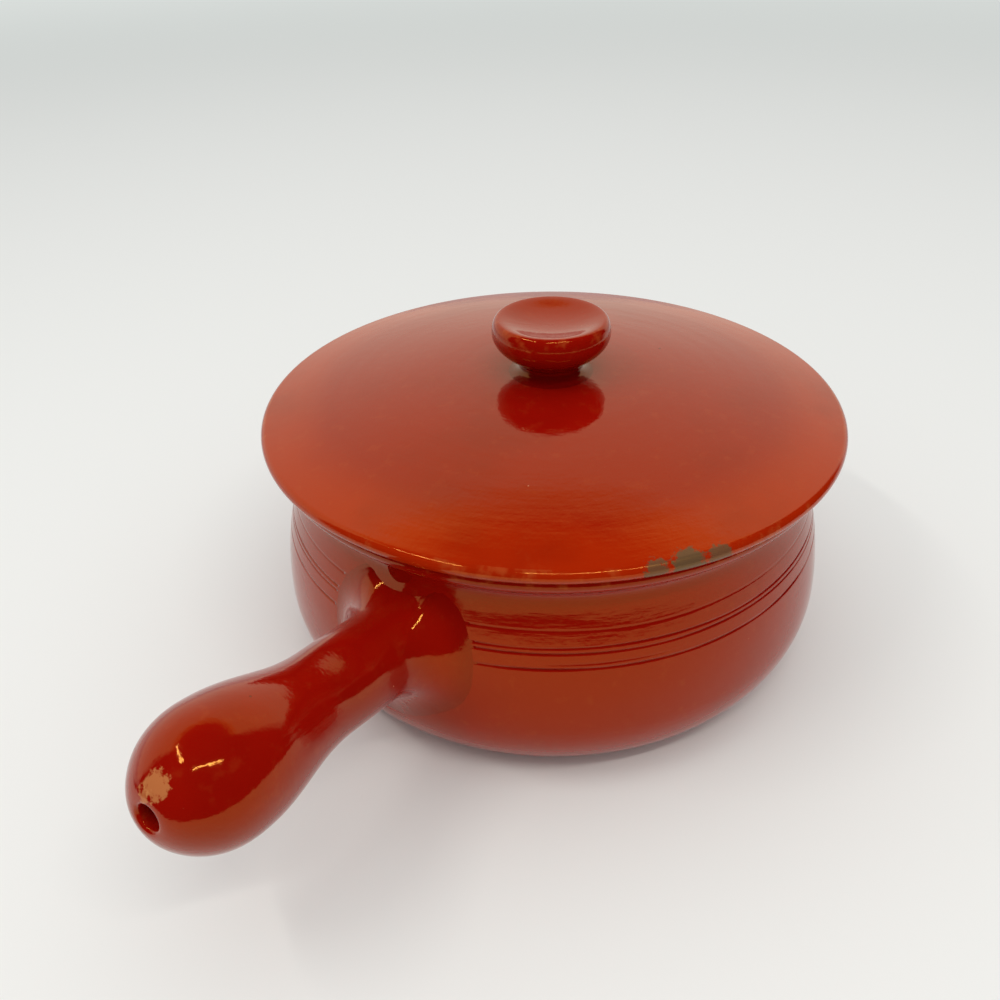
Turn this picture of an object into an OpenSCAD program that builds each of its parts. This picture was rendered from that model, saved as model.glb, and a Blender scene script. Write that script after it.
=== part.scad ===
// Glazed earthenware pan with a hollow thrown handle and a loose domed lid.
// The origin is the centre of the flat foot. +Z is up and the handle points along +X.

/* [Bowl] */
// Diameter of the flat foot that the pan stands on
foot_d = 173; // [150:1:190]
// Diameter of the bowl at its widest line
belly_d = 234; // [224:1:250]
// Height of the widest line above the foot
belly_h = 34; // [28:1:42]
// Outside diameter of the turned-out rim
rim_d = 232; // [224:1:240]
// Thickness of the rounded rim
rim_t = 7; // [5:0.5:9]
// How far the rim turns out from the drawn-in neck under it
rim_flare = 8.5; // [5:0.5:12]
// Height from the neck to the rim's top
rim_rise = 14.7; // [12:0.1:20]
// Height of the rim's top, where the lid rests
pan_h = 101.7; // [98:0.1:115]
// Thickness of the bowl's wall
wall_t = 6; // [4:0.5:8]
// Thickness of the bowl's floor
floor_t = 7; // [5:0.5:10]

/* [Throwing rings] */
// Height of the lowest incised ring
ring_low_h = 60.5; // [56:0.5:62]
// Height of the lower line of the double ring
ring_pair_h = 66.4; // [64:0.1:68]
// Distance between the two lines of the double ring
ring_pair_gap = 2; // [1.6:0.1:3]
// Height of the uppermost, faint ring
ring_top_h = 75; // [73:0.5:78]
// Width of an incised ring at the surface
ring_w = 1.2; // [0.6:0.1:1.5]
// Depth of an incised ring
ring_depth = 0.5; // [0.2:0.1:1]

/* [Handle] */
// Height above the foot at which the handle's axis meets the bowl's wall
handle_root_h = 59; // [52:1:64]
// Upward slope of the handle in degrees
handle_tilt = 10; // [0:1:16]
// Length of the handle from the wall to its end
handle_len = 112.5; // [100:0.5:150]
// Diameter of the handle's straight neck
grip_d = 33; // [28:1:38]
// Length of the straight neck from the wall
grip_len = 40; // [30:1:48]
// Diameter of the handle's bulb
bulb_d = 47; // [40:1:54]
// Distance from the wall to the bulb's thickest place
bulb_at = 87; // [76:1:92]
// Thickness of the hollow handle's wall
handle_wall = 7; // [5:0.5:8]
// Diameter of the vent in the handle's end
vent_d = 8.5; // [6:0.5:10]
// Length along the handle of the clay that joins it to the bowl
weld_len = 16; // [10:1:22]
// Width of that clay around the handle, where it runs out on the wall
weld_w = 17; // [12:1:20]

/* [Lid] */
// How far the lid overhangs the rim all round
lid_overhang = 4; // [1:0.5:10]
// Thickness of the lid's rounded edge
lip_t = 6; // [4:0.5:8]
// Height of the lid's flat centre above its seat
dome_h = 19; // [15:0.5:28]
// Thickness of the lid at its centre
lid_t = 6.5; // [5:0.5:9]
// Depth of the locating ring under the lid
flange_h = 12; // [8:0.5:16]
// Thickness of the locating ring
flange_t = 6; // [4:0.5:8]
// Slack all round between the locating ring and the bowl's neck
flange_slack = 1.5; // [1:0.1:4]
// Clearance between the lid's seat and the rim
seat_gap = 0.3; // [0.2:0.1:0.6]

/* [Knob] */
// Diameter of the knob
knob_d = 48.2; // [40:0.1:56]
// Height of the knob above the lid's centre
knob_h = 23.3; // [20:0.1:30]
// Diameter of the knob's neck
knob_neck_d = 25; // [20:1:28]
// Height of the knob's neck
knob_neck_h = 3.2; // [2.5:0.1:6]
// How far the crest round the dished top lies inside the knob's widest line
crest_inset = 2.65; // [1:0.05:5]
// Depth of the dish in the knob's top
dish_depth = 3.5; // [1:0.5:5]
// Width of the slip coil round the knob's neck
coil_w = 5; // [3:0.5:8]

/* [Hidden] */
$fn = 96;

// Steps along each curve of a profile
curve_n = 10;
// Thickness left at the thin edges of the joining clay
feather = 0.8;
// How far a cutting shape runs past the surface that it cuts
overrun = 2;
// How far the handle and its weld start inside the bowl's wall before they are trimmed to it
trim_in = 14;

foot_r = foot_d / 2;
belly_r = belly_d / 2;
rim_r = rim_d / 2;
neck_r = rim_r - rim_flare;
neck_h = pan_h - rim_rise;
rim_c = [rim_r - rim_t / 2, pan_h - rim_t / 2];
inner_neck_r = neck_r - wall_t;

grip_r = grip_d / 2;
bulb_r = bulb_d / 2;
vent_r = vent_d / 2;
// Bare ring left round the vent's mouth
vent_rim = 1.5;

seat_z = pan_h + seat_gap;
lid_r = rim_r + lid_overhang;
lip_c = [lid_r - lip_t / 2, seat_z + lip_t / 2];
lid_top = seat_z + dome_h;
// Slope of the dome where it runs into the lip, in degrees
lip_slope = 13;
flange_r = inner_neck_r - flange_slack;
flange_in_r = flange_r - flange_t;

knob_r = knob_d / 2;
knob_neck_r = knob_neck_d / 2;
crest_r = knob_r - crest_inset;
knob_top = lid_top + knob_h;
// Share of the knob's height at which it is widest
knob_wide_share = 0.76;
knob_wide_h = knob_h * knob_wide_share;
coil_r = knob_neck_r + coil_w;
// Flat margin left round the coil in the lid's centre
land_margin = 1.5;
land_r = coil_r + land_margin;

// Points of a cubic curve from a to d, drawn towards b and c, without its first point
function curve(a, b, c, d, n = curve_n) = [
    for (i = [1:n])
        let (t = i / n, s = 1 - t)
            s * s * s * a + 3 * s * s * t * b + 3 * s * t * t * c + t * t * t * d
];

// Points of an arc about c, from one angle to another, without its first point
function arc(c, r, from, to, n = curve_n) = [
    for (i = [1:n])
        let (a = from + (to - from) * i / n)
            c + r * [cos(a), sin(a)]
];

// Quarter of an ellipse that leaves the level line at [r0, z0] and rises to [r1, z1]
function quarter(r0, z0, r1, z1, n = curve_n) = [
    for (i = [1:n])
        let (a = 90 * i / n)
            [r0 + (r1 - r0) * sin(a), z1 - (z1 - z0) * cos(a)]
];

function reversed(list) = [for (i = [len(list) - 1:-1:0]) list[i]];

// Each pull says how far along its run a curve is steered, as a share of that run
wall_pull = [0.5, 0.85];
flare_pull = [0.45, 0.62];
bulb_pull = 0.4;
// How square the handle's end is: along its length, then across its radius
cap_pull = [0.66, 0.45];
weld_pull = 0.4;
dome_pull = [0.45, 0.2];
hollow_pull = [0.92, 0.65, 0.6];
cup_pull = [0.22, 0.42];
crest_pull = 0.6;
dish_pull = [0.85, 0.6];
coil_pull = 0.45;

function wall_curve(r_belly, r_neck) =
    let (rise = neck_h - belly_h)
        curve(
            [r_belly, belly_h], [r_belly, belly_h + rise * wall_pull[0]],
            [r_neck, belly_h + rise * wall_pull[1]], [r_neck, neck_h]
        );

// Curve of the flare from the neck to one side of the rim
function flare_curve(r_from, r_to) =
    let (rise = rim_c[1] - neck_h)
        curve(
            [r_from, neck_h], [r_from, neck_h + rise * flare_pull[0]],
            [r_to, neck_h + rise * flare_pull[1]], [r_to, rim_c[1]]
        );

// Outside of the bowl, from the foot's edge to the rim's outermost point
bowl_outside = concat(
    [[foot_r, 0]],
    quarter(foot_r, 0, belly_r, belly_h),
    wall_curve(belly_r, neck_r),
    flare_curve(neck_r, rim_r)
);

// Inside of the bowl, from the floor's edge to the rim's innermost point
bowl_inside = concat(
    [[foot_r - wall_t, floor_t]],
    quarter(foot_r - wall_t, floor_t, belly_r - wall_t, belly_h),
    wall_curve(belly_r - wall_t, inner_neck_r),
    flare_curve(inner_neck_r, rim_r - rim_t)
);

// Radius of the bowl's outside at a given height
function outside_r(z) = lookup(z, [for (p = bowl_outside) [p[1], p[0]]]);

// Radius of the wall where the handle's axis meets it
root_r = outside_r(handle_root_h);

// Solid of the bowl's outside, used to trim what is joined to the wall
module bowl_solid() {
    rotate_extrude()
        polygon(concat([[0, 0]], bowl_outside, [[rim_r, lid_top], [0, lid_top]]));
}

// Ring-shaped cutter for one incised line
module incised_ring(z) {
    r = outside_r(z);
    slope = ring_w / 2 / ring_depth;
    rotate_extrude()
        polygon([
            [r - ring_depth, z],
            [r + overrun, z - (ring_depth + overrun) * slope],
            [r + overrun, z + (ring_depth + overrun) * slope]
        ]);
}

module pan_bowl() {
    color("firebrick")
        difference() {
            rotate_extrude()
                polygon(concat(
                    [[0, 0]],
                    bowl_outside,
                    arc(rim_c, rim_t / 2, 0, 180),
                    reversed(bowl_inside),
                    [[0, floor_t]]
                ));
            for (z = [ring_low_h, ring_pair_h, ring_pair_h + ring_pair_gap, ring_top_h])
                incised_ring(z);
        }
}

// Places its children on the handle's axis, with their z measured from the wall outwards
module on_handle_axis() {
    translate([root_r, 0, handle_root_h])
        rotate([0, 90 - handle_tilt, 0])
            children();
}

// Outline of the handle, or of its hollow when it is drawn in by the wall's thickness
function handle_profile(z_start, inset, end_r) =
    let (
        r_grip = grip_r - inset,
        r_bulb = bulb_r - inset,
        z_end = handle_len - inset,
        run = bulb_at - grip_len,
        cap = z_end - bulb_at
    )
    concat(
        [[0, z_start], [r_grip, z_start], [r_grip, grip_len]],
        curve(
            [r_grip, grip_len], [r_grip, grip_len + run * bulb_pull],
            [r_bulb, bulb_at - run * bulb_pull], [r_bulb, bulb_at]
        ),
        curve(
            [r_bulb, bulb_at], [r_bulb, bulb_at + cap * cap_pull[0]],
            [r_bulb * cap_pull[1], z_end], [end_r, z_end]
        ),
        [[0, z_end]]
    );

module pan_handle() {
    color("brown")
        difference() {
            on_handle_axis()
                difference() {
                    rotate_extrude()
                        polygon(handle_profile(-trim_in, 0, vent_r + vent_rim));
                    rotate_extrude()
                        polygon(handle_profile(-trim_in - overrun, handle_wall, vent_r));
                    cylinder(h = handle_len + overrun, r = vent_r);
                }
            bowl_solid();
        }
}

module handle_weld() {
    color("firebrick")
        difference() {
            on_handle_axis()
                rotate_extrude()
                    polygon(concat(
                        [[grip_r, -trim_in], [grip_r, weld_len], [grip_r + feather, weld_len]],
                        curve(
                            [grip_r + feather, weld_len], [grip_r + feather, weld_len * weld_pull],
                            [grip_r + weld_w * weld_pull, 0],
                            [grip_r + weld_w, -weld_len * weld_pull]
                        ),
                        [[grip_r + weld_w, -trim_in]]
                    ));
            bowl_solid();
        }
}

// Top of the lid, from the edge of its flat centre to the lip's outermost point
lip_meet = lip_c + lip_t / 2 * [sin(lip_slope), cos(lip_slope)];
lid_outside = concat(
    [[land_r, lid_top]],
    curve(
        [land_r, lid_top], [lid_r * dome_pull[0], lid_top],
        lip_meet + lid_r * dome_pull[1] * [-cos(lip_slope), sin(lip_slope)], lip_meet
    ),
    arc(lip_c, lip_t / 2, 90 - lip_slope, 0)
);

// Underside of the lid, from the locating ring's inner edge to the centre
lid_hollow_top = lid_top - lid_t;
lid_hollow = curve(
    [flange_in_r, seat_z],
    [flange_in_r * hollow_pull[0], seat_z + (lid_hollow_top - seat_z) * hollow_pull[1]],
    [flange_in_r * hollow_pull[2], lid_hollow_top], [0, lid_hollow_top]
);

module lid_plate() {
    color("firebrick")
        rotate_extrude()
            polygon(concat(
                [[0, lid_top]],
                lid_outside,
                arc(lip_c, lip_t / 2, 0, -90),
                [[flange_in_r, seat_z]],
                lid_hollow
            ));
}

module lid_flange() {
    edge_c = [flange_r - flange_t / 2, seat_z - flange_h + flange_t / 2];
    color("brown")
        rotate_extrude()
            polygon(concat(
                [[flange_r, seat_z], [flange_r, edge_c[1]]],
                arc(edge_c, flange_t / 2, 0, -180),
                [[flange_in_r, seat_z]]
            ));
}

module lid_knob() {
    wide_z = lid_top + knob_wide_h;
    neck_z = lid_top + knob_neck_h;
    rise = wide_z - neck_z;
    color("firebrick")
        rotate_extrude()
            polygon(concat(
                [[0, lid_top], [knob_neck_r, lid_top], [knob_neck_r, neck_z]],
                curve(
                    [knob_neck_r, neck_z], [knob_neck_r, neck_z + rise * cup_pull[0]],
                    [knob_r, neck_z + rise * cup_pull[1]], [knob_r, wide_z]
                ),
                curve(
                    [knob_r, wide_z], [knob_r, wide_z + (knob_top - wide_z) * crest_pull],
                    [(knob_r + crest_r) / 2, knob_top], [crest_r, knob_top]
                ),
                curve(
                    [crest_r, knob_top], [crest_r * dish_pull[0], knob_top],
                    [crest_r * dish_pull[1], knob_top - dish_depth],
                    [0, knob_top - dish_depth]
                )
            ));
}

module knob_coil() {
    color("brown")
        rotate_extrude()
            polygon(concat(
                [
                    [knob_neck_r, lid_top], [coil_r, lid_top],
                    [coil_r, lid_top + feather / 2]
                ],
                curve(
                    [coil_r, lid_top + feather / 2],
                    [knob_neck_r + coil_w * coil_pull, lid_top + feather / 2],
                    [knob_neck_r + feather, lid_top + knob_neck_h * coil_pull],
                    [knob_neck_r + feather, lid_top + knob_neck_h]
                ),
                [[knob_neck_r, lid_top + knob_neck_h]]
            ));
}

pan_bowl();
pan_handle();
handle_weld();
lid_plate();
lid_flange();
lid_knob();
knob_coil();
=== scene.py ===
"""Glazed earthenware pan with a hollow thrown handle and a loose domed lid."""

import logging
import math
from dataclasses import dataclass, field
from enum import Enum
from typing import Any, Callable, Optional, Sequence, Union

import bmesh
import bpy
from mathutils import Matrix, Vector, noise


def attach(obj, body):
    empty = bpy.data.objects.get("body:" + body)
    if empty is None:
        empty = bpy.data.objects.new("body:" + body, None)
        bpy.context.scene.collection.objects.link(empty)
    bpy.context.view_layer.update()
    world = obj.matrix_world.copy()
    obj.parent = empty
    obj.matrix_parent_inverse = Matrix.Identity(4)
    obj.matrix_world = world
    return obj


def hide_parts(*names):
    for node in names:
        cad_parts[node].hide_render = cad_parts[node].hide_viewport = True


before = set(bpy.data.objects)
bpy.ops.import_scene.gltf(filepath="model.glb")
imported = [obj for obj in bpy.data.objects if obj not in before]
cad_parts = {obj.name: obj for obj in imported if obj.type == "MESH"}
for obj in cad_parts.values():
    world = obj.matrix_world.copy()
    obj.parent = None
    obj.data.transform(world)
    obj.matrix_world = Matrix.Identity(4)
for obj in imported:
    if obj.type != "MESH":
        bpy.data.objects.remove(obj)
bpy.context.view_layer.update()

LOG = logging.getLogger("pan")

MM = 0.001

Colour = tuple[float, float, float]


class Body(Enum):
    """The moving bodies of the pan."""

    PAN = "pan"
    LID = "lid"


class Coat(Enum):
    """The material slots of the record."""

    BOWL = "bowl_glaze"
    HANDLE = "handle_glaze"
    LID = "lid_glaze"


class Mark(Enum):
    """What the glaze does at a place, and where shade is painted, kept as an attribute of the mesh."""

    THIN = "thin"
    # Painted shade: a darker glaze colour laid into grooves and concave corners, where shade and dark
    # reflections fall.
    RECESS_SHADE = "pooled"
    BARE = "bare"


# Profiles


@dataclass(frozen=True)
class Station:
    """One point of a profile, in millimetres.

    Attributes:
        r: Distance from the axis.
        z: Height along the axis.
        thin: How thin the glaze runs here, from 0 to 1.
        pooled: How thickly the glaze gathers here, from 0 to 1.
        bare: Whether the clay is left unglazed here, from 0 to 1.
        weld: Share of the way from the handle's neck to the wall, or -1 off the weld.
    """

    r: float
    z: float
    thin: float = 0.0
    # pooled: How much painted shade, as a darker glaze colour, lies here in a groove or concave corner,
    # from 0 to 1.
    pooled: float = 0.0
    bare: float = 0.0
    weld: float = -1.0


def curve(
    a: tuple[float, float],
    b: tuple[float, float],
    c: tuple[float, float],
    d: tuple[float, float],
    count: int,
    **marks: float,
) -> list[Station]:
    """Draws a cubic curve without its first point.

    Args:
        a: Where the curve starts.
        b: The point that it leaves towards.
        c: The point that it arrives from.
        d: Where the curve ends.
        count: How many points it has.
        marks: Values for the marks of each station.

    Returns:
        The stations of the curve.
    """
    stations = []
    for i in range(1, count + 1):
        t = i / count
        s = 1 - t
        weights = (s**3, 3 * s * s * t, 3 * s * t * t, t**3)
        r, z = (sum(w * p[k] for w, p in zip(weights, (a, b, c, d))) for k in (0, 1))
        stations.append(Station(r, z, **marks))
    return stations


def arc(
    centre: tuple[float, float],
    radius: float,
    start: float,
    end: float,
    count: int,
    **marks: float,
) -> list[Station]:
    """Draws an arc without its first point.

    Args:
        centre: Its centre.
        radius: Its radius.
        start: The angle that it starts from, in degrees.
        end: The angle that it ends at, in degrees.
        count: How many points it has.
        marks: Values for the marks of each station.

    Returns:
        The stations of the arc.
    """
    angles = [math.radians(start + (end - start) * i / count) for i in range(1, count + 1)]
    return [
        Station(centre[0] + radius * math.cos(a), centre[1] + radius * math.sin(a), **marks)
        for a in angles
    ]


def line(a: tuple[float, float], b: tuple[float, float], count: int, **marks: float) -> list[Station]:
    """Draws a straight run without its first point.

    Args:
        a: Where it starts.
        b: Where it ends.
        count: How many points it has.
        marks: Values for the marks of each station.

    Returns:
        The stations of the run.
    """
    return [
        Station(a[0] + (b[0] - a[0]) * i / count, a[1] + (b[1] - a[1]) * i / count, **marks)
        for i in range(1, count + 1)
    ]


def smooth(low: float, high: float, value: float) -> float:
    """Rises smoothly from 0 at low to 1 at high."""
    t = min(max((value - low) / (high - low), 0.0), 1.0)
    return t * t * (3 - 2 * t)


# Thrown forms


class Thrown:
    """A form turned on the wheel: a profile spun about the vertical axis."""

    name = "thrown"
    steps = 240

    def profile(self) -> list[Station]:
        """The stations of the form, from the axis round its wall and back to the axis."""
        raise NotImplementedError

    def settle(self, at: Vector, mesh: bmesh.types.BMesh) -> Vector:
        """Moves one point of the spun wall the way that hands leave it."""
        return at

    def turned(self) -> bmesh.types.BMesh:
        """Spins the profile and closes its seam and poles.

        Returns:
            A closed shell in millimetres, whose faces point outwards.
        """
        bm = bmesh.new()
        layers = {m: bm.verts.layers.float.new(m.value) for m in Mark}
        weld = bm.verts.layers.float.new("weld")
        chain = []
        for s in self.profile():
            vert = bm.verts.new((s.r, 0.0, s.z))
            vert[layers[Mark.THIN]], vert[layers[Mark.RECESS_SHADE]] = s.thin, s.pooled
            vert[layers[Mark.BARE]], vert[weld] = s.bare, s.weld
            chain.append(vert)
        edges = [bm.edges.new(pair) for pair in zip(chain, chain[1:])]
        bmesh.ops.spin(
            bm,
            geom=chain + edges,
            axis=(0, 0, 1),
            cent=(0, 0, 0),
            angle=math.tau,
            steps=self.steps,
            use_merge=True,
        )
        bmesh.ops.remove_doubles(bm, verts=bm.verts, dist=1e-3)
        bmesh.ops.recalc_face_normals(bm, faces=bm.faces)
        return bm

    def place(self, bm: bmesh.types.BMesh) -> None:
        """Brings the form from millimetres on its own axis to metres in the frame."""
        bmesh.ops.scale(bm, vec=(MM, MM, MM), verts=bm.verts)

    def shape(self, bm: bmesh.types.BMesh) -> None:
        """Gives the spun shell what the wheel alone doesn't."""

    def build(self) -> bpy.types.Object:
        """Makes the finished object.

        Returns:
            The object, at the origin, with its place in its mesh.
        """
        bm = self.turned()
        self.shape(bm)
        self.place(bm)
        mesh = bpy.data.meshes.new(self.name)
        bm.to_mesh(mesh)
        bm.free()
        for face in mesh.polygons:
            face.use_smooth = True
        obj = bpy.data.objects.new(self.name, mesh)
        bpy.context.scene.collection.objects.link(obj)
        return obj


@dataclass(frozen=True)
class Ring:
    """A line that the potter's tool cut into the turning bowl, in millimetres and degrees.

    Attributes:
        height: Height of the line.
        depth: Its depth where it is fully cut.
        width: Its width at the surface.
        start: Direction from the axis where the line begins.
        end: Direction where it runs out, more than start.
        fade: How many degrees it takes to run in and out.
        wander: How far it strays up and down.
    """

    height: float
    depth: float
    width: float
    start: float = -200.0
    end: float = 200.0
    fade: float = 8.0
    wander: float = 0.25

    def cut(self, angle: float, z: float) -> float:
        """Depth of the line at a place on the wall.

        Args:
            angle: Direction from the axis, in degrees from -180 to 180.
            z: Height, in millimetres.

        Returns:
            How far the wall is cut back there.
        """
        if abs(z - self.height) > self.width + self.wander:
            return 0.0
        a = math.radians(angle)
        around = Vector((2.2 * math.cos(a), 2.2 * math.sin(a), self.height))
        off = z - self.height - self.wander * noise.noise(around)
        share = abs(off) / (self.width / 2)
        if share >= 1:
            return 0.0
        press = 0.75 + 0.5 * noise.noise(around * 2.3)
        length = smooth(self.start, self.start + self.fade, angle) * (
            1 - smooth(self.end - self.fade, self.end, angle)
        )
        return self.depth * press * length * 0.5 * (1 + math.cos(math.pi * share))


@dataclass
class Bowl(Thrown):
    """The squat bowl: flat foot, wide belly, drawn-in neck and turned-out rim."""

    name: str = "glazed_bowl"
    foot_r: float = 86.5
    belly_r: float = 117.0
    belly_h: float = 34.0
    rim_r: float = 116.0
    rim_t: float = 7.0
    rim_flare: float = 8.5
    rim_rise: float = 14.7
    height: float = 101.7
    wall: float = 6.0
    floor: float = 7.0
    wall_pull: tuple[float, float] = (0.5, 0.85)
    flare_pull: tuple[float, float] = (0.45, 0.62)
    unevenness: float = 0.28
    rings: tuple[Ring, ...] = (
        Ring(60.5, 0.5, 1.3),
        Ring(62.3, 0.22, 0.8, start=26, end=56, fade=10),
        Ring(66.4, 0.42, 1.1),
        Ring(68.4, 0.42, 1.1),
        Ring(75.0, 0.16, 1.6, fade=20, wander=0.6),
    )
    _outside: list[Station] = field(default_factory=list)

    @property
    def neck(self) -> tuple[float, float]:
        """Radius and height of the drawn-in neck."""
        return self.rim_r - self.rim_flare, self.height - self.rim_rise

    @property
    def rim_centre(self) -> tuple[float, float]:
        """Centre of the round of the rim."""
        return self.rim_r - self.rim_t / 2, self.height - self.rim_t / 2

    def side(self, foot: float, belly: float, neck: float, rim: float, floor: float) -> list[Station]:
        """One side of the wall, from the foot's edge up to the rim.

        Args:
            foot: Radius of the foot.
            belly: Radius of the belly.
            neck: Radius of the neck.
            rim: Radius of this side of the rim.
            floor: Height at which this side starts.

        Returns:
            The stations after the foot's edge.
        """
        neck_h, rim_h = self.neck[1], self.rim_centre[1]
        limb = [
            Station(
                foot + (belly - foot) * math.sin(t),
                self.belly_h - (self.belly_h - floor) * math.cos(t),
            )
            for t in (math.pi / 2 * i / 28 for i in range(1, 29))
        ]
        rise = neck_h - self.belly_h
        wall = curve(
            (belly, self.belly_h),
            (belly, self.belly_h + rise * self.wall_pull[0]),
            (neck, self.belly_h + rise * self.wall_pull[1]),
            (neck, neck_h),
            200,
        )
        rise = rim_h - neck_h
        flare = curve(
            (neck, neck_h),
            (neck, neck_h + rise * self.flare_pull[0]),
            (rim, neck_h + rise * self.flare_pull[1]),
            (rim, rim_h),
            22,
        )
        return limb + wall + flare

    def outside(self) -> list[Station]:
        """The outer side of the wall, fine only where the rings are cut."""
        if not self._outside:
            neck_r, _ = self.neck
            side = self.side(self.foot_r, self.belly_r, neck_r, self.rim_r, 0.0)
            kept = []
            for i, s in enumerate(side):
                in_rings = 57.5 < s.z < 78.5
                if in_rings or i % 4 == 0 or s.z < self.belly_h or s.z > self.neck[1]:
                    kept.append(s)
            self._outside = kept
        return self._outside

    def inside(self) -> list[Station]:
        """The inner side of the wall, from the floor's edge to the rim."""
        neck_r, _ = self.neck
        w = self.wall
        side = self.side(
            self.foot_r - w, self.belly_r - w, neck_r - w, self.rim_r - self.rim_t, self.floor
        )
        return [s for i, s in enumerate(side) if i % 5 == 0 or s.z < 40 or s.z > self.neck[1]]

    def profile(self) -> list[Station]:
        """The bowl's wall, from the middle of its foot over the rim to the middle of its floor."""
        edge = self.foot_r
        foot = line((0, 0), (edge - 3, 0), 14, bare=1.0) + line((edge - 3, 0), (edge, 0), 3, bare=1.0)
        rim = arc(self.rim_centre, self.rim_t / 2, 0, 180, 24, thin=1.0)
        back = list(reversed(self.inside()))
        floor = line((back[-1].r, self.floor), (0, self.floor), 16)
        return [Station(0, 0, bare=1.0)] + foot + self.outside() + rim + back[1:] + floor

    def wall_radius(self, z: float) -> float:
        """Radius of the thrown wall's outside.

        Args:
            z: Height, in millimetres.

        Returns:
            The radius before hands and tools have touched it.
        """
        side = [Station(self.foot_r, 0.0)] + self.outside()
        for low, high in zip(side, side[1:]):
            if low.z <= z <= high.z and high.z > low.z:
                return low.r + (high.r - low.r) * (z - low.z) / (high.z - low.z)
        return side[-1].r if z > side[-1].z else side[0].r

    def give(self, angle: float, z: float) -> float:
        """How far the wall lies inside a true circle, in millimetres.

        Args:
            angle: Direction from the axis, in radians.
            z: Height, in millimetres.

        Returns:
            A length of zero or more, that the neighbouring pieces allow for too.
        """
        at = Vector((1.3 * math.cos(angle), 1.3 * math.sin(angle), z / 26))
        near = Vector((3.1 * math.cos(angle), 3.1 * math.sin(angle), z / 11 + 9))
        swing = 0.5 + 0.42 * noise.noise(at) + 0.16 * noise.noise(near)
        edge = smooth(0, 10, z) * (1 - smooth(self.neck[1] + 4, self.height - 3, z))
        return self.unevenness * min(max(swing, 0), 1) * edge

    def shape(self, bm: bmesh.types.BMesh) -> None:
        """Presses the rings and the hands' unevenness into the outer wall, and paints shade into the rings.
        """
        pooled = bm.verts.layers.float[Mark.RECESS_SHADE.value]
        middle = (self.belly_r + self.neck[0]) / 2 - self.wall
        for vert in bm.verts:
            r = math.hypot(vert.co.x, vert.co.y)
            z = vert.co.z
            inner = self.wall_radius(z) - self.wall / 2
            if r < inner or z <= 0 or r < 1 or middle < 0:
                continue
            angle = math.atan2(vert.co.y, vert.co.x)
            cut = sum(ring.cut(math.degrees(angle), z) for ring in self.rings)
            # Painted shade: each ring is marked darker in proportion to its depth.
            vert[pooled] = min(1.0, cut / 0.4)
            share = (r - self.give(angle, z) - cut) / r
            vert.co.x *= share
            vert.co.y *= share


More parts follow.
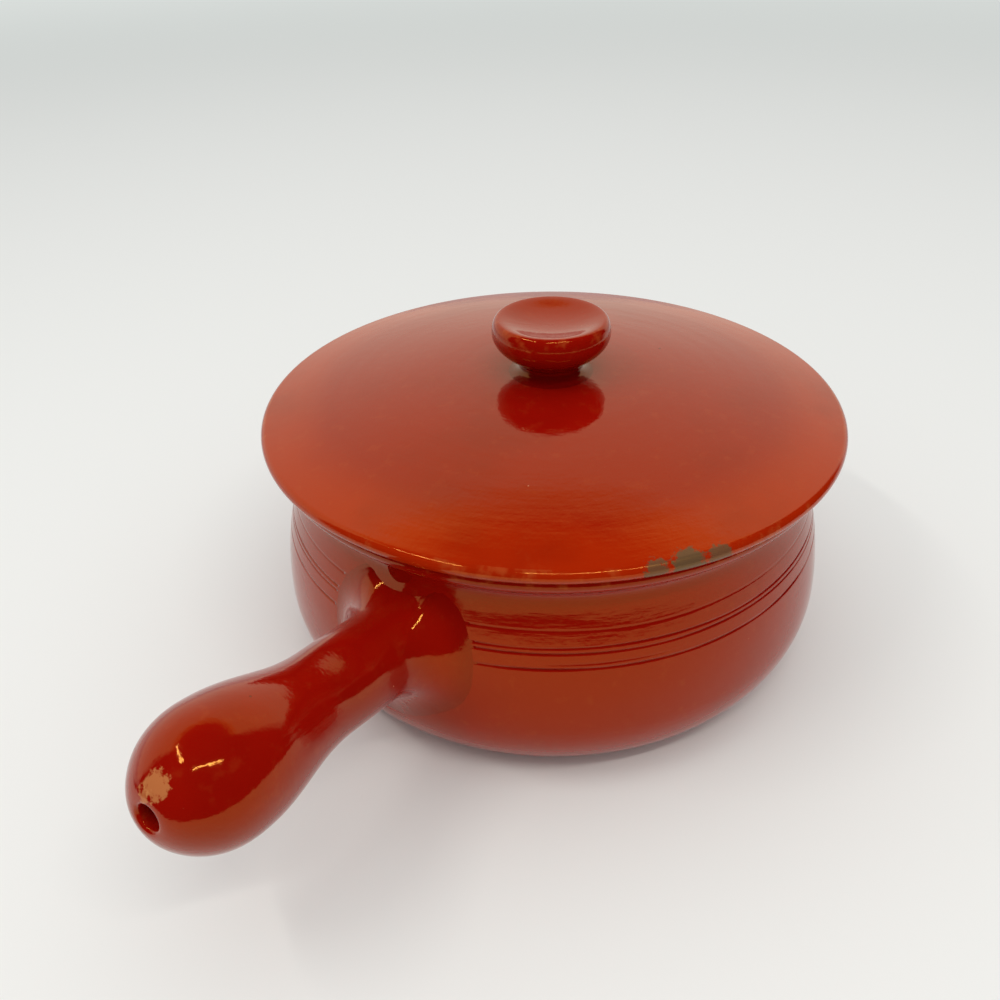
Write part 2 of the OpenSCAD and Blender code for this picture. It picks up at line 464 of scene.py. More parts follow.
@dataclass
class Handle(Thrown):
    """The hollow thrown handle, with the clay that joins it smoothed on to the bowl."""

    bowl: Bowl
    name: str = "glazed_handle"
    steps: int = 192
    root_h: float = 59.0
    tilt: float = 10.0
    length: float = 112.5
    grip_r: float = 16.5
    grip_len: float = 40.0
    bulb_r: float = 23.5
    bulb_at: float = 87.0
    wall: float = 7.0
    vent_r: float = 4.25
    vent_round: float = 1.3
    weld_len: float = 16.0
    weld_w: float = 17.0
    sink: float = 0.06
    bulb_pull: float = 0.4
    cap_pull: tuple[float, float] = (0.66, 0.45)
    unevenness: float = 0.3

    @property
    def seat(self) -> Matrix:
        """From the handle's own axis to the frame, in millimetres."""
        root = self.bowl.wall_radius(self.root_h)
        turn = Matrix.Rotation(math.radians(90 - self.tilt), 4, "Y")
        return Matrix.Translation((root, 0, self.root_h)) @ turn

    def body(self, inset: float, end_r: float) -> list[Station]:
        """The neck's end, the bulb and the cap, at a distance inside the surface.

        Args:
            inset: How far inside the surface it runs.
            end_r: The radius at which the cap ends.

        Returns:
            The stations from the neck to the cap.
        """
        grip, bulb = self.grip_r - inset, self.bulb_r - inset
        end = self.length - inset
        run, cap = self.bulb_at - self.grip_len, end - self.bulb_at
        swell = curve(
            (grip, self.grip_len),
            (grip, self.grip_len + run * self.bulb_pull),
            (bulb, self.bulb_at - run * self.bulb_pull),
            (bulb, self.bulb_at),
            36,
        )
        close = curve(
            (bulb, self.bulb_at),
            (bulb, self.bulb_at + cap * self.cap_pull[0]),
            (bulb * self.cap_pull[1], end),
            (end_r, end),
            36,
        )
        return swell + close

    def profile(self) -> list[Station]:
        """The handle's wall, from inside the bowl's wall round the vent to its closed hollow."""
        count = 34
        # Painted shade: the part of the joint nearest the wall is marked darker, for the shade in its
        # concave corner.
        weld = [
            Station(0, 0, weld=1 - i / count, pooled=smooth(0.55, 0.95, 1 - i / count) * 0.6)
            for i in range(count + 1)
        ]
        weld = [
            Station(
                self.grip_r + self.weld_w * s.weld,
                self.weld_len * (1 - s.weld) - 40 * s.weld,
                weld=s.weld,
                pooled=s.pooled,
            )
            for s in weld
        ]
        neck = line((self.grip_r, self.weld_len), (self.grip_r, self.grip_len), 16)
        mouth = (self.vent_r + self.vent_round, self.length - self.vent_round)
        lip = arc(mouth, self.vent_round, 90, 180, 8, thin=0.7)
        bore = line(
            (self.vent_r, mouth[1]), (self.vent_r, self.length - self.wall), 5, thin=0.4
        )
        hollow = list(reversed(self.body(self.wall, self.vent_r)))[1:]
        back = line((self.grip_r - self.wall, self.grip_len), (self.grip_r - self.wall, 2.0), 6)
        outer_end = self.grip_r + self.weld_w
        buried = [Station(0, -60), Station(outer_end * 0.5, -60), Station(outer_end, -60)]
        return (
            buried
            + weld
            + neck
            + self.body(0, self.vent_r + self.vent_round)
            + lip
            + bore
            + hollow
            + back
            + line((self.grip_r - self.wall, 2.0), (0, 2.0), 4)
        )

    def wall_height(self, radius: float, angle: float) -> float:
        """How far along the handle's axis the bowl's wall lies, beside that axis.

        Args:
            radius: Distance from the handle's axis, in millimetres.
            angle: Direction about that axis, in radians.

        Returns:
            The distance along the axis, from its root.
        """
        seat = self.seat
        low, high = -45.0, 25.0
        for _ in range(26):
            mid = (low + high) / 2
            at = seat @ Vector((radius * math.cos(angle), radius * math.sin(angle), mid))
            around = math.atan2(at.y, at.x)
            out = math.hypot(at.x, at.y)
            if out > self.bowl.wall_radius(at.z) - self.bowl.give(around, at.z):
                high = mid
            else:
                low = mid
        return (low + high) / 2

    def weld_curve(self, angle: float) -> Callable[[float], tuple[float, float]]:
        """The smoothed joint in one direction about the handle's axis.

        Args:
            angle: That direction, in radians.

        Returns:
            A function from the share of the way to the wall to a radius and a distance.
        """
        swell = 1 + 0.14 * noise.noise(Vector((1.4 * math.cos(angle), 1.4 * math.sin(angle), 4.2)))
        width = self.weld_w * swell
        outer = self.grip_r + width
        slope = (self.wall_height(outer + 0.5, angle) - self.wall_height(outer - 0.5, angle)) / 1.0
        start = (self.grip_r, self.weld_len * swell)
        end = (outer, self.wall_height(outer, angle) - self.sink)
        leave = (self.grip_r, start[1] - 0.62 * (start[1] - self.wall_height(self.grip_r, angle)))
        pull = width * 0.62
        arrive = (outer - pull, end[1] - slope * pull)

        def at(share: float) -> tuple[float, float]:
            t, s = share, 1 - share
            weights = (s**3, 3 * s * s * t, 3 * s * t * t, t**3)
            r, z = (sum(w * p[k] for w, p in zip(weights, (start, leave, arrive, end))) for k in (0, 1))
            return r, z

        return at

    def shape(self, bm: bmesh.types.BMesh) -> None:
        """Smooths the joint on to the wall and leaves the handle slightly uneven."""
        weld = bm.verts.layers.float["weld"]
        curves: dict[int, Callable[[float], tuple[float, float]]] = {}
        for vert in bm.verts:
            r = math.hypot(vert.co.x, vert.co.y)
            angle = math.atan2(vert.co.y, vert.co.x)
            key = round(angle / math.tau * self.steps) % self.steps
            if vert[weld] >= 0 or vert.co.z < -50:
                if key not in curves:
                    curves[key] = self.weld_curve(angle)
            if vert[weld] >= 0:
                radius, z = curves[key](vert[weld])
                vert.co = Vector((radius * math.cos(angle), radius * math.sin(angle), z))
            elif vert.co.z < -50:
                edge_r, _ = curves[key](1.0)
                share = r / (self.grip_r + self.weld_w)
                radius = edge_r * share
                z = self.wall_height(radius, angle) - 2.2
                vert.co = Vector((radius * math.cos(angle), radius * math.sin(angle), z))
            elif r > self.grip_r - 1 and vert.co.z > self.weld_len:
                z = vert.co.z
                low = curves_start(self.weld_len, z, self.grip_len, angle)
                vert.co.z = low
                vert.co.xy *= 1 - self.give(angle, z) / r
            elif vert.co.z > self.bulb_at and r > self.vent_r + 2:
                vert.co.xy *= 1 - self.give(angle, vert.co.z) / r

    def give(self, angle: float, z: float) -> float:
        """How far the handle's surface lies inside a true circle, in millimetres.

        Args:
            angle: Direction about the handle's axis, in radians.
            z: Distance along it, in millimetres.

        Returns:
            A length of zero or more.
        """
        at = Vector((0.8 * math.cos(angle), 0.8 * math.sin(angle), z / 17 + 3))
        swing = 0.5 + 0.5 * noise.noise(at)
        ends = smooth(self.grip_len * 0.6, self.grip_len, z) * (
            1 - smooth(self.length - 6, self.length - 1, z)
        )
        return self.unevenness * min(max(swing, 0), 1) * ends

    def place(self, bm: bmesh.types.BMesh) -> None:
        """Tilts the handle on to the bowl and brings it to metres."""
        bmesh.ops.transform(bm, matrix=self.seat, verts=bm.verts)
        super().place(bm)


def curves_start(weld_len: float, z: float, grip_len: float, angle: float) -> float:
    """Carries the uneven start of the joint up the straight neck until it has died out.

    Args:
        weld_len: Length of the joint along the neck.
        z: Distance along the handle's axis.
        grip_len: Length of the straight neck.
        angle: Direction about the axis, in radians.

    Returns:
        The mended distance along the axis.
    """
    swell = 0.14 * noise.noise(Vector((1.4 * math.cos(angle), 1.4 * math.sin(angle), 4.2)))
    left = 1 - smooth(weld_len, grip_len, z)
    return z + weld_len * swell * left


@dataclass
class Lid(Thrown):
    """The domed lid with its rounded lip and the locating ring under it."""

    name: str = "glazed_lid"
    seat: float = 102.0
    radius: float = 120.0
    lip_t: float = 6.0
    dome: float = 19.0
    thick: float = 6.5
    land_r: float = 19.0
    ring_r: float = 100.0
    ring_t: float = 6.0
    ring_h: float = 12.0
    slope: float = 13.0
    dome_pull: tuple[float, float] = (0.45, 0.2)
    hollow_pull: tuple[float, float, float] = (0.92, 0.65, 0.6)
    unevenness: float = 0.22

    def profile(self) -> list[Station]:
        """The lid's wall, from the middle of its top over the lip to the middle of its hollow."""
        top = self.seat + self.dome
        lip = (self.radius - self.lip_t / 2, self.seat + self.lip_t / 2)
        tilt = math.radians(self.slope)
        meet = (lip[0] + 3 * math.sin(tilt), lip[1] + 3 * math.cos(tilt))
        reach = self.radius * self.dome_pull[1]
        crown = curve(
            (self.land_r, top),
            (self.radius * self.dome_pull[0], top),
            (meet[0] - reach * math.cos(tilt), meet[1] + reach * math.sin(tilt)),
            meet,
            90,
        )
        edge = arc(lip, self.lip_t / 2, 90 - self.slope, 0, 16, thin=1.0)
        under = arc(lip, self.lip_t / 2, 0, -90, 14, thin=0.8)
        fillet = 1.6
        ring_end = (self.ring_r - self.ring_t / 2, self.seat - self.ring_h + self.ring_t / 2)
        inner = self.ring_r - self.ring_t
        seat = line((lip[0], self.seat), (self.ring_r + fillet, self.seat), 6)
        # Painted shade: the inner corner under the lid is marked darker.
        corner = arc((self.ring_r + fillet, self.seat - fillet), fillet, 90, 180, 6, pooled=0.8)
        outer = line((self.ring_r, self.seat - fillet), (self.ring_r, ring_end[1]), 6)
        foot = [
            Station(s.r, s.z, bare=smooth(1.0, 2.0, ring_end[1] - s.z))
            for s in arc(ring_end, self.ring_t / 2, 0, -180, 18)
        ]
        rise = self.seat - ring_end[1]
        vault = self.seat + self.dome - self.thick
        pull = self.hollow_pull
        hollow = curve(
            (inner, ring_end[1] + rise * 0.55),
            (inner, self.seat + 0.6),
            (inner * pull[0], self.seat + (vault - self.seat) * 0.42),
            (inner * 0.86, self.seat + (vault - self.seat) * 0.56),
            16,
        )
        cup = curve(
            (inner * 0.86, self.seat + (vault - self.seat) * 0.56),
            (inner * 0.74, self.seat + (vault - self.seat) * 0.86),
            (inner * 0.5, vault),
            (0, vault),
            34,
        )
        land = line((0, top), (self.land_r, top), 12)
        return [Station(0, top)] + land + crown + edge + under + seat + corner + outer + foot + hollow + cup

    def shape(self, bm: bmesh.types.BMesh) -> None:
        """Leaves the dome and the lip slightly uneven, as a wheel and hands do."""
        for vert in bm.verts:
            r = math.hypot(vert.co.x, vert.co.y)
            if vert.co.z < self.seat + 0.4 or r < 24:
                continue
            angle = math.atan2(vert.co.y, vert.co.x)
            at = Vector((1.1 * math.cos(angle), 1.1 * math.sin(angle), r / 30))
            turn = Vector((0.5 * math.cos(angle), 0.5 * math.sin(angle), r / 4.5))
            swing = 0.5 + 0.45 * noise.noise(at) + 0.12 * noise.noise(turn)
            above = smooth(self.seat + 0.4, self.seat + 5, vert.co.z) * smooth(24, 40, r)
            vert.co.z -= self.unevenness * min(max(swing, 0), 1) * above


@dataclass
class Knob(Thrown):
    """The mushroom knob with its dished top and the slip that joins it to the lid."""

    name: str = "glazed_knob"
    steps: int = 160
    base: float = 121.0
    radius: float = 24.1
    height: float = 23.3
    wide_share: float = 0.76
    neck_r: float = 12.5
    neck_h: float = 3.2
    crest_inset: float = 2.65
    dish: float = 3.5
    coil: float = 5.6
    cup_pull: tuple[float, float] = (0.22, 0.42)
    crest_pull: float = 0.6
    dish_pull: tuple[float, float] = (0.85, 0.6)

    def profile(self) -> list[Station]:
        """The knob's wall, from under the slip round the crest to the middle of the dish."""
        wide = self.base + self.height * self.wide_share
        neck = self.base + self.neck_h
        top = self.base + self.height
        crest = self.radius - self.crest_inset
        rise = wide - neck
        foot = self.neck_r + self.coil
        # Painted shade: the slip round the neck's foot, under the knob's head, is marked fully darker.
        skirt = curve(
            (foot, self.base - 0.02),
            (self.neck_r + self.coil * 0.4, self.base - 0.02),
            (self.neck_r, self.base + self.neck_h * 0.35),
            (self.neck_r, neck),
            26,
            pooled=1.0,
        )
        cup = curve(
            (self.neck_r, neck),
            (self.neck_r, neck + rise * self.cup_pull[0]),
            (self.radius, neck + rise * self.cup_pull[1]),
            (self.radius, wide),
            40,
        )
        brow = curve(
            (self.radius, wide),
            (self.radius, wide + (top - wide) * self.crest_pull),
            ((self.radius + crest) / 2, top),
            (crest, top),
            18,
            thin=0.8,
        )
        dish = curve(
            (crest, top),
            (crest * self.dish_pull[0], top),
            (crest * self.dish_pull[1], top - self.dish),
            (0, top - self.dish),
            40,
        )
        under = self.base - 0.6
        buried = [Station(0, under), Station(foot * 0.5, under), Station(foot, under)]
        # Painted shade: the slip's outer edge is marked darker too.
        return buried + [Station(foot, self.base - 0.02, pooled=1.0)] + skirt + cup + brow + dish


# Shader arithmetic


class Value:
    """A shader socket that takes part in Python arithmetic."""

    def __init__(self, tree: "Tree", socket: bpy.types.NodeSocket) -> None:
        """Wraps one output socket of a tree."""
        self.tree = tree
        self.socket = socket

    def other(self, output: Union[int, str]) -> "Value":
        """Another output of the same node."""
        return Value(self.tree, self.socket.node.outputs[output])

    def math(self, operation: str, *others: "Number") -> "Value":
        """Adds a Math node with this value first.

        Args:
            operation: The node's operation.
            others: The values that follow.

        Returns:
            The node's result.
        """
        sockets = dict(enumerate((self, *others)))
        return self.tree.node("ShaderNodeMath", {"operation": operation}, sockets)

    def __add__(self, other: "Number") -> "Value":
        """Sum."""
        return self.math("ADD", other)

    __radd__ = __add__

    def __sub__(self, other: "Number") -> "Value":
        """Difference."""
        return self.math("SUBTRACT", other)

    def __rsub__(self, other: float) -> "Value":
        """Difference from a number."""
        return self * -1 + other

    def __mul__(self, other: "Number") -> "Value":
        """Product."""
        return self.math("MULTIPLY", other)

    __rmul__ = __mul__

    def __truediv__(self, other: "Number") -> "Value":
        """Quotient."""
        return self.math("DIVIDE", other)

    def __pow__(self, other: float) -> "Value":
        """Power."""
        return self.math("POWER", other)

    def rise(self, low: float, high: float) -> "Value":
        """A smooth step from 0 at low to 1 at high."""
        sockets = {"Value": self, "From Min": low, "From Max": high}
        return self.tree.node("ShaderNodeMapRange", {"interpolation_type": "SMOOTHSTEP"}, sockets)

    def fall(self, low: float, high: float) -> "Value":
        """A smooth step from 1 at low to 0 at high."""
        return 1 - self.rise(low, high)


Number = Union[Value, float]


class Tree:
    """The node tree of a material or a world."""

    def __init__(self, owner: Union[bpy.types.Material, bpy.types.World]) -> None:
        """Clears the owner's tree and keeps it."""
        owner.use_nodes = True
        self.nodes = owner.node_tree.nodes
        self.links = owner.node_tree.links
        self.nodes.clear()

    def node(
        self,
        kind: str,
        settings: Optional[dict[str, Any]] = None,
        sockets: Optional[dict[Union[int, str], Any]] = None,
        output: Union[int, str] = 0,
    ) -> Value:
        """Adds a node.

        Args:
            kind: The node's type.
            settings: Its settings, which are set first; stops are those of its ramp.
            sockets: Values or links of its inputs, by index or name.
            output: The output that is wanted.

        Returns:
            That output.
        """
        made = self.nodes.new(kind)
        for key, value in (settings or {}).items():
            if key == "stops":
                ramp = made.color_ramp.elements
                while len(ramp) < len(value):
                    ramp.new(1.0)
                for element, (place, colour) in zip(ramp, value):
                    element.position = place
                    element.color = (*colour, 1.0)
            else:
                setattr(made, key, value)
        for key, value in (sockets or {}).items():
            if isinstance(value, Value):
                self.links.new(value.socket, made.inputs[key])
            else:
                made.inputs[key].default_value = value
        outputs = made.outputs
        return Value(self, outputs[output]) if len(outputs) else Value(self, made.inputs[0])

    def noise(self, place: Value, scale: float, detail: float = 2.0, rough: float = 0.5) -> Value:
        """Plain noise between about 0 and 1 at a place."""
        sockets = {"Vector": place, "Scale": scale, "Detail": detail, "Roughness": rough}
        return self.node("ShaderNodeTexNoise", {}, sockets)

    def mix(self, share: Number, first: Any, second: Any) -> Value:
        """Mixes two colours.

        Args:
            share: How much of the second colour there is.
            first: The first colour.
            second: The second colour.

        Returns:
            The mixed colour.
        """
        pair = [(*c, 1.0) if isinstance(c, tuple) else c for c in (first, second)]
        sockets = {0: share, 6: pair[0], 7: pair[1]}
        return self.node("ShaderNodeMix", {"data_type": "RGBA"}, sockets, output=2)

    def joined(self, x: Number, y: Number, z: Number) -> Value:
        """A vector from its three parts."""
        return self.node("ShaderNodeCombineXYZ", {}, {0: x, 1: y, 2: z})

    def distance(self, place: Value, centre: tuple[float, float, float]) -> Value:
        """Distance of a place from a point, in metres."""
        settings = {"operation": "DISTANCE"}
        return self.node("ShaderNodeVectorMath", settings, {0: place, 1: centre}, output="Value")


# Finishes


@dataclass(frozen=True)
class Spot:
    """A place where the coat differs from the rest.

    Attributes:
        centre: Its centre in the frame, in metres.
        radius: Its radius, in metres.
        colour: Its colour.
        rough: Its roughness.
        ragged: How far its edge strays, in metres.
        strength: How much of it shows, from 0 to 1.
        grain: Scale of the noise that tears its edge.
    """

    centre: tuple[float, float, float]
    radius: float
    colour: Colour
    rough: float = 0.4
    ragged: float = 0.002
    strength: float = 1.0
    grain: float = 500.0


@dataclass(frozen=True)
class Glaze:
    """A transparent lead glaze over red slip.

    Attributes:
        name: Name of the material.
        body: Colour where the glaze has its usual thickness.
        deep_and_shade: Darker glaze colour, used for the random clouding and as painted shade in grooves
            and concave corners.
        thin: Colour where it has run thin over an edge.
        outer: Colour of the outer part of a lid, where the glaze is a little thinner.
        outer_from: Radius from which the outer colour comes in, in metres, or 0.
        root: Where the turning axis starts, in metres.
        tilt: Turn of the axis about Y, in degrees.
        ripple: Height of the fine ripple, in metres.
        spots: The places where the coat differs.
    """

    name: str
    body: Colour = (0.29, 0.004, 0.001)
    deep_and_shade: Colour = (0.15, 0.001, 0.001)
    thin: Colour = (0.42, 0.06, 0.012)
    outer: Colour = (0.37, 0.016, 0.001)
    outer_from: float = 0.0
    root: tuple[float, float, float] = (0.0, 0.0, 0.0)
    tilt: float = 0.0
    ripple: float = 3.0e-5
    spots: tuple[Spot, ...] = ()
    clay: Colour = (0.42, 0.17, 0.075)
    ior: float = 1.65
    tint: Colour = (1.0, 0.5, 0.1)

    def material(self) -> bpy.types.Material:
        """Builds the material.

        Returns:
            The finished material.
        """
        made = bpy.data.materials.new(self.name)
        tree = Tree(made)
        place = tree.node("ShaderNodeTexCoord", {}, {}, output="Object")
        own = tree.node(
            "ShaderNodeMapping",
            {"vector_type": "TEXTURE"},
            {
                "Vector": place,
                "Location": self.root,
                "Rotation": (0.0, math.radians(self.tilt), 0.0),
            },
        )
        x = tree.node("ShaderNodeSeparateXYZ", {}, {0: own})
        y, z = x.other(1), x.other(2)
        radius = (x * x + y * y + 1e-8) ** 0.5
        turned = tree.joined(x / radius * 9, y / radius * 9, (z - radius * 0.5) * 900)
        broad = tree.joined(x / radius * 5, y / radius * 5, (z - radius * 0.5) * 220)

        streaks = tree.noise(turned, 1.0, 3.0)
        swell = tree.noise(broad, 1.0, 2.0)
        grain = tree.noise(place, 900.0, 2.0)
        pebble = tree.noise(place, 240.0, 2.0)
        height = streaks * 0.9 + swell * 1.6 + grain * 0.5 + pebble * 1.2
        bump = tree.node(
            "ShaderNodeBump", {}, {"Strength": 1.0, "Distance": self.ripple, "Height": height}
        )

        cloud = tree.noise(place, 22.0, 3.0)
        mottle = tree.noise(place, 160.0, 3.0, 0.6)
        thin = self.attribute(tree, Mark.THIN)
        pooled = self.attribute(tree, Mark.RECESS_SHADE)
        bare = self.attribute(tree, Mark.BARE)

        colour: Any = self.body
        if self.outer_from:
            edge = (radius + (cloud - 0.5) * 0.02).rise(self.outer_from, self.outer_from + 0.022)
            colour = tree.mix(edge, self.body, self.outer)
        colour = tree.mix(cloud.rise(0.45, 0.8) * 0.35, colour, self.deep_and_shade)
        colour = tree.mix(mottle.rise(0.55, 0.75) * 0.12, colour, self.thin)
        # Painted shade: the grooves and concave corners take the darker colour.
        colour = tree.mix(pooled * 0.75, colour, self.deep_and_shade)
        worn = thin * (mottle * 0.6 + cloud * 0.4).rise(0.5, 0.62)
        colour = tree.mix(worn * 0.6, colour, self.thin)
        rough: Number = 0.045 + cloud * 0.03 + worn * 0.05

        colour, rough = self.pinholes(tree, place, colour, rough)
        for spot in self.spots:
            mask = self.spot_mask(tree, place, spot)
            colour = tree.mix(mask, colour, spot.colour)
            rough = rough + mask * (spot.rough - 0.06)

        clay = tree.mix(mottle, self.clay, tuple(c * 0.72 for c in self.clay))
        dry = (bare + (mottle - 0.5) * 0.5).rise(0.45, 0.6)
        colour = tree.mix(dry, colour, clay)
        rough = rough + dry * 0.6

        surface = tree.node(
            "ShaderNodeBsdfPrincipled",
            {},
            {
                "Base Color": colour,
                "Roughness": rough,
                "IOR": self.ior,
                "Specular Tint": (*self.tint, 1.0),
                "Normal": bump,
            },
        )
        tree.node("ShaderNodeOutputMaterial", {}, {"Surface": surface})
        return made

    @staticmethod
    def attribute(tree: Tree, mark: Mark) -> Value:
        """One of the marks that the meshes carry."""
        return tree.node("ShaderNodeAttribute", {"attribute_name": mark.value}, {}, output="Fac")

    @staticmethod
    def spot_mask(tree: Tree, place: Value, spot: Spot) -> Value:
        """Where a spot shows.

        Args:
            tree: The material's tree.
            place: The place that is looked at.
            spot: The spot.

        Returns:
            Its share, from 0 to its strength.
        """
        torn = tree.noise(place, spot.grain, 3.0, 0.65)
        away = tree.distance(place, spot.centre) + (torn - 0.5) * spot.ragged * 2
        return away.fall(spot.radius * 0.8, spot.radius * 1.1) * spot.strength

    @staticmethod
    def pinholes(tree: Tree, place: Value, colour: Value, rough: Number) -> tuple[Value, Number]:
        """Adds the pale and dark specks of small bubbles and grit.

        Args:
            tree: The material's tree.
            place: The place that is looked at.
            colour: The colour so far.
            rough: The roughness so far.

        Returns:
            The colour and the roughness with the specks.
        """
        for scale, limit, rarity, shade in (
            (95.0, 0.035, 0.72, (0.55, 0.22, 0.12)),
            (70.0, 0.045, 0.8, (0.035, 0.004, 0.003)),
        ):
            cell = tree.node(
                "ShaderNodeTexVoronoi", {}, {"Vector": place, "Scale": scale}, output="Distance"
            )
            pick = tree.node("ShaderNodeSeparateColor", {}, {0: cell.other("Color")})
            mask = cell.fall(limit * 0.6, limit) * pick.math("GREATER_THAN", rarity)
            colour = tree.mix(mask * 0.8, colour, shade)
            rough = rough + mask * 0.25
        return colour, rough


# The studio


@dataclass(frozen=True)
class Strip:
    """A long lamp that hangs level.

    Attributes:
        name: Its name.
        heading: Direction from the pan, in degrees about the vertical axis.
        height: Its angle above the floor, in degrees.
        away: Its distance, in metres.
        size: Its length and width, in metres.
        power: Its power, in watts.
    """

    name: str
    heading: float
    height: float
    away: float
    size: tuple[float, float]
    power: float

    def hang(self, target: Vector) -> bpy.types.Object:
        """Makes the lamp and turns it to a point.

        Args:
            target: That point, in metres.

        Returns:
            The lamp.
        """
        light = bpy.data.lights.new(self.name, "AREA")
        light.shape = "RECTANGLE"
        light.size, light.size_y = self.size
        light.energy = self.power
        light.color = (1.0, 0.97, 0.92)
        lamp = bpy.data.objects.new(self.name, light)
        h, e = math.radians(self.heading), math.radians(self.height)
        out = Vector((math.cos(h) * math.cos(e), math.sin(h) * math.cos(e), math.sin(e)))
        side = Vector((-math.sin(h), math.cos(h), 0.0))
        lamp.matrix_world = Matrix((side, out.cross(side), out)).transposed().to_4x4()
        lamp.location = target + out * self.away
        bpy.context.scene.collection.objects.link(lamp)
        return lamp


@dataclass(frozen=True)
class Viewpoint:
    """The camera of the photograph, in metres and degrees."""

    place: tuple[float, float, float] = (0.3245, 0.1851, 0.3049)
    heading: float = 213.12
    pitch: float = 33.6
    roll: float = -1.41
    lens: float = 36.0

    def mount(self) -> None:
        """Makes the camera and gives it to the scene."""
        h, p, r = (math.radians(v) for v in (self.heading, self.pitch, self.roll))
        ahead = Vector((math.cos(h) * math.cos(p), math.sin(h) * math.cos(p), -math.sin(p)))
        right = ahead.cross(Vector((0, 0, 1))).normalized()
        up = right.cross(ahead)
        side = right * math.cos(r) + up * math.sin(r)
        top = up * math.cos(r) - right * math.sin(r)
        data = bpy.data.cameras.new("camera")
        data.sensor_width = 36.0
        data.lens = self.lens
        data.clip_start, data.clip_end = 0.01, 50.0
        camera = bpy.data.objects.new("camera", data)
        camera.matrix_world = Matrix((side, top, -ahead)).transposed().to_4x4()
        camera.location = self.place
        bpy.context.scene.collection.objects.link(camera)
        bpy.context.scene.camera = camera


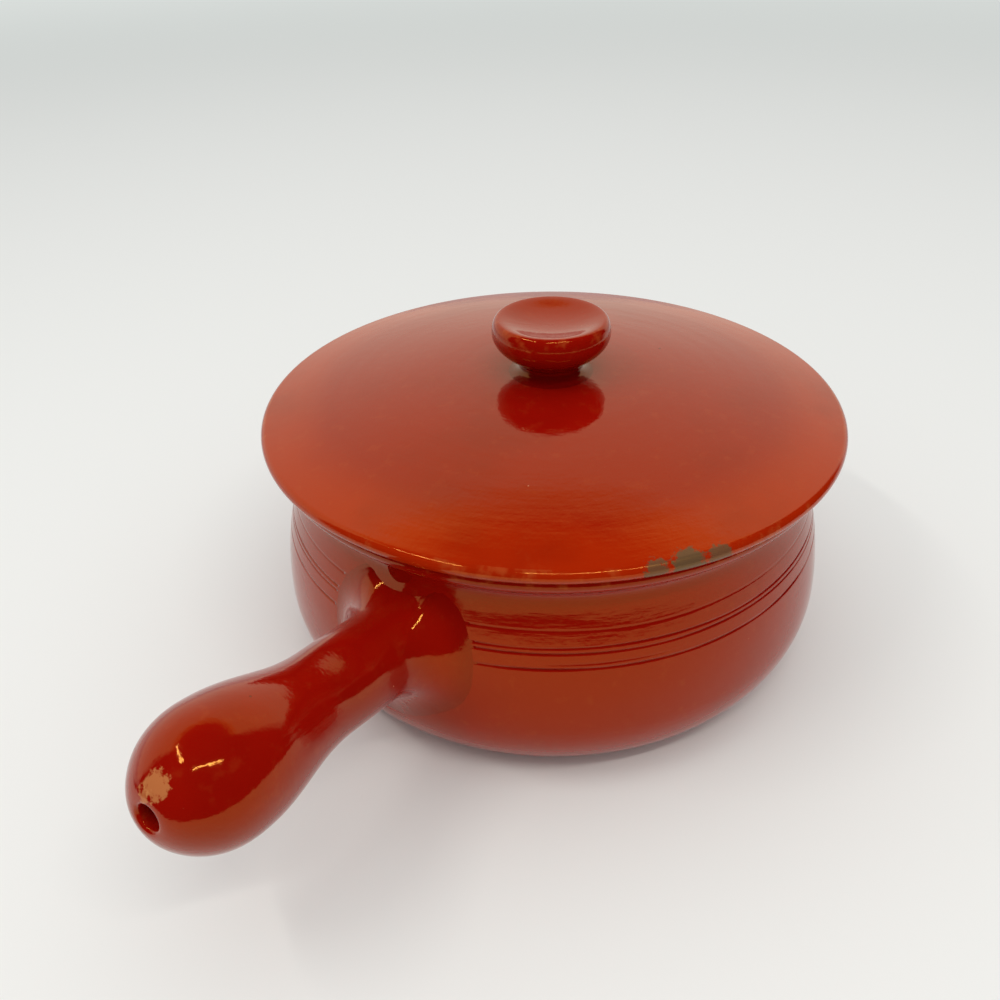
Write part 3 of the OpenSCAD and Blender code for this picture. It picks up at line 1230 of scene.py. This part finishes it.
@dataclass
class Studio:
    """A pale sheet with the pan on it, a pale wall behind it and a dim room round both."""

    away: float = 209.7
    floor_r: float = 7.0
    paper: Colour = (0.86, 0.87, 0.85)
    # Painted shade: the colour the sheet darkens to far from the pan, where less light falls.
    far_paper_shade: Colour = (0.72, 0.75, 0.73)
    sky: Colour = (0.71, 0.745, 0.725)
    glow: Colour = (1.0, 0.92, 0.78)
    room: Colour = (0.006, 0.004, 0.004)
    low_light: float = 0.18
    high_light: float = 0.95
    lamps: tuple[Strip, ...] = (
        Strip("right_lamp", 49.7, 57.0, 1.2, (0.8, 0.04), 2.6),
        Strip("left_lamp", -32.3, 57.0, 1.2, (0.5, 0.04), 1.6),
    )

    def directions(self, tree: Tree, vector: Value) -> tuple[Value, Value]:
        """The angle from the way that the photograph looks, and the angle above the floor.

        Args:
            tree: The tree.
            vector: A direction.

        Returns:
            Both angles, in degrees.
        """
        turned = tree.node(
            "ShaderNodeMapping",
            {"vector_type": "POINT"},
            {"Vector": vector, "Rotation": (0.0, 0.0, math.radians(-self.away))},
        )
        x = tree.node("ShaderNodeSeparateXYZ", {}, {0: turned})
        around = x.other(1).math("ARCTAN2", x) * (180 / math.pi)
        flat = (x * x + x.other(1) * x.other(1)) ** 0.5
        above = x.other(2).math("ARCTAN2", flat) * (180 / math.pi)
        return around, above

    def world(self) -> None:
        """Lights the room: pale to the camera, soft from above, and a pale wall in the gloss."""
        world = bpy.data.worlds.new("room")
        bpy.context.scene.world = world
        tree = Tree(world)
        place = tree.node("ShaderNodeTexCoord", {}, {}, output="Generated")
        around, above = self.directions(tree, place)
        wall = around.rise(-60, -50) * around.fall(88, 96)
        ramp = tree.node(
            "ShaderNodeValToRGB",
            {
                "stops": [
                    (0.0, self.glow),
                    (0.55, self.glow),
                    (0.60, (0.95, 0.62, 0.25)),
                    (0.66, (0.25, 0.05, 0.01)),
                    (0.80, self.room),
                    (1.0, self.room),
                ]
            },
            {0: above / 90},
        )
        gloss = tree.mix(wall, self.room, ramp)
        lift = above.math("MAXIMUM", 0.0) * (math.pi / 180)
        strength = lift.math("SINE") * self.high_light + self.low_light
        soft = tree.node("ShaderNodeCombineColor", {}, {0: strength, 1: strength, 2: strength})
        path = tree.node("ShaderNodeLightPath", {}, {}, output="Is Camera Ray")
        colour = tree.mix(path.other("Is Glossy Ray"), soft, gloss)
        colour = tree.mix(path, colour, self.sky)
        shade = tree.node("ShaderNodeBackground", {}, {"Color": colour, "Strength": 1.0})
        tree.node("ShaderNodeOutputWorld", {}, {"Surface": shade})

    def paper_material(self) -> bpy.types.Material:
        """The sheet: pale paper, painted darker away from the pan as shade, that ends in the dim room where
        only the gloss sees it.

        Returns:
            The material.
        """
        made = bpy.data.materials.new("paper")
        tree = Tree(made)
        place = tree.node("ShaderNodeTexCoord", {}, {}, output="Object")
        around, _ = self.directions(tree, place)
        reach = tree.distance(place, (0.0, 0.0, 0.0))
        # Painted shade: the sheet darkens with distance from the pan.
        base = tree.mix(reach.rise(0.3, 2.2), self.paper, self.far_paper_shade)
        sheet = tree.node(
            "ShaderNodeBsdfPrincipled",
            {},
            {"Base Color": base, "Roughness": 0.9, "Specular IOR Level": 0.0},
        )
        sky = tree.node("ShaderNodeEmission", {}, {"Color": (*self.sky, 1.0), "Strength": 1.0})
        path = tree.node("ShaderNodeLightPath", {}, {}, output="Is Camera Ray")
        far = tree.node(
            "ShaderNodeMixShader", {}, {0: path * reach.rise(1.2, 3.0), 1: sheet, 2: sky}
        )
        open_side = 1 - around.rise(-75, -60) * around.fall(95, 110)
        ended = reach.rise(0.50, 0.56) * open_side * path.other("Is Glossy Ray")
        dark = tree.node("ShaderNodeEmission", {}, {"Color": (*self.room, 1.0), "Strength": 1.0})
        surface = tree.node("ShaderNodeMixShader", {}, {0: ended, 1: far, 2: dark})
        tree.node("ShaderNodeOutputMaterial", {}, {"Surface": surface})
        return made

    def lay_paper(self) -> bpy.types.Object:
        """Lays the sheet under the pan.

        Returns:
            The sheet.
        """
        bm = bmesh.new()
        bmesh.ops.create_circle(bm, cap_ends=True, radius=self.floor_r, segments=96)
        bmesh.ops.translate(bm, vec=(0, 0, -0.0002), verts=bm.verts)
        mesh = bpy.data.meshes.new("paper_sheet")
        bm.to_mesh(mesh)
        bm.free()
        sheet = bpy.data.objects.new("paper_sheet", mesh)
        sheet.data.materials.append(self.paper_material())
        bpy.context.scene.collection.objects.link(sheet)
        return sheet

    def set_up(self) -> None:
        """Lays the sheet, lights the room, hangs the lamps and mounts the camera."""
        self.lay_paper()
        self.world()
        for lamp in self.lamps:
            lamp.hang(Vector((0.04, 0.02, 0.07)))
        Viewpoint().mount()
        bpy.context.scene.view_settings.view_transform = "Standard"


# The whole pan


@dataclass(frozen=True)
class Piece:
    """A form with its coat, its body and the nodes that it stands for."""

    form: Thrown
    coat: Glaze
    slot: Coat
    body: Body
    nodes: tuple[str, ...]

    def finish(self) -> bpy.types.Object:
        """Builds, coats and fits the piece.

        Returns:
            The finished object.
        """
        obj = self.form.build()
        obj.data.materials.append(self.coat.material())
        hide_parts(*self.nodes)
        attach(obj, self.body.value)
        LOG.info("%s: %d faces, rides on %s", obj.name, len(obj.data.polygons), self.body.value)
        return obj


def pieces() -> list[Piece]:
    """Lists the pieces of the pan.

    Returns:
        The pieces in the order in which they are built.
    """
    bowl = Bowl()
    handle = Handle(bowl)
    root = handle.seat.translation * MM
    worn_tan = (0.62, 0.25, 0.08)
    sooty = (0.09, 0.07, 0.035)
    bowl_coat = Glaze("bowl_glaze")
    handle_coat = Glaze(
        "handle_glaze",
        root=tuple(root),
        tilt=90 - handle.tilt,
        spots=(
            Spot((0.2208, 0.0020, 0.0895), 0.0042, worn_tan, 0.2, 0.004, 0.6),
            Spot((0.2215, -0.0010, 0.0850), 0.0030, worn_tan, 0.2, 0.004, 0.5),
        ),
    )
    lid_coat = Glaze(
        "lid_glaze",
        outer_from=0.088,
        spots=(
            Spot((0.0730, 0.0945, 0.1045), 0.0062, sooty, 0.35, 0.004, 0.9),
            Spot((0.0820, 0.0870, 0.1050), 0.0045, sooty, 0.35, 0.004, 0.8),
            Spot((0.0640, 0.1020, 0.1045), 0.0050, sooty, 0.35, 0.004, 0.8),
        ),
    )
    return [
        Piece(bowl, bowl_coat, Coat.BOWL, Body.PAN, ("pan_bowl",)),
        Piece(handle, handle_coat, Coat.HANDLE, Body.PAN, ("pan_handle", "handle_weld")),
        Piece(Lid(), lid_coat, Coat.LID, Body.LID, ("lid_plate", "lid_flange")),
        Piece(Knob(), Glaze("knob_glaze"), Coat.LID, Body.LID, ("lid_knob", "knob_coil")),
    ]


def main() -> None:
    """Builds the studio and the pan."""
    logging.basicConfig(level=logging.INFO)
    Studio().set_up()
    for piece in pieces():
        piece.finish()


if __name__ == "__main__":
    main()
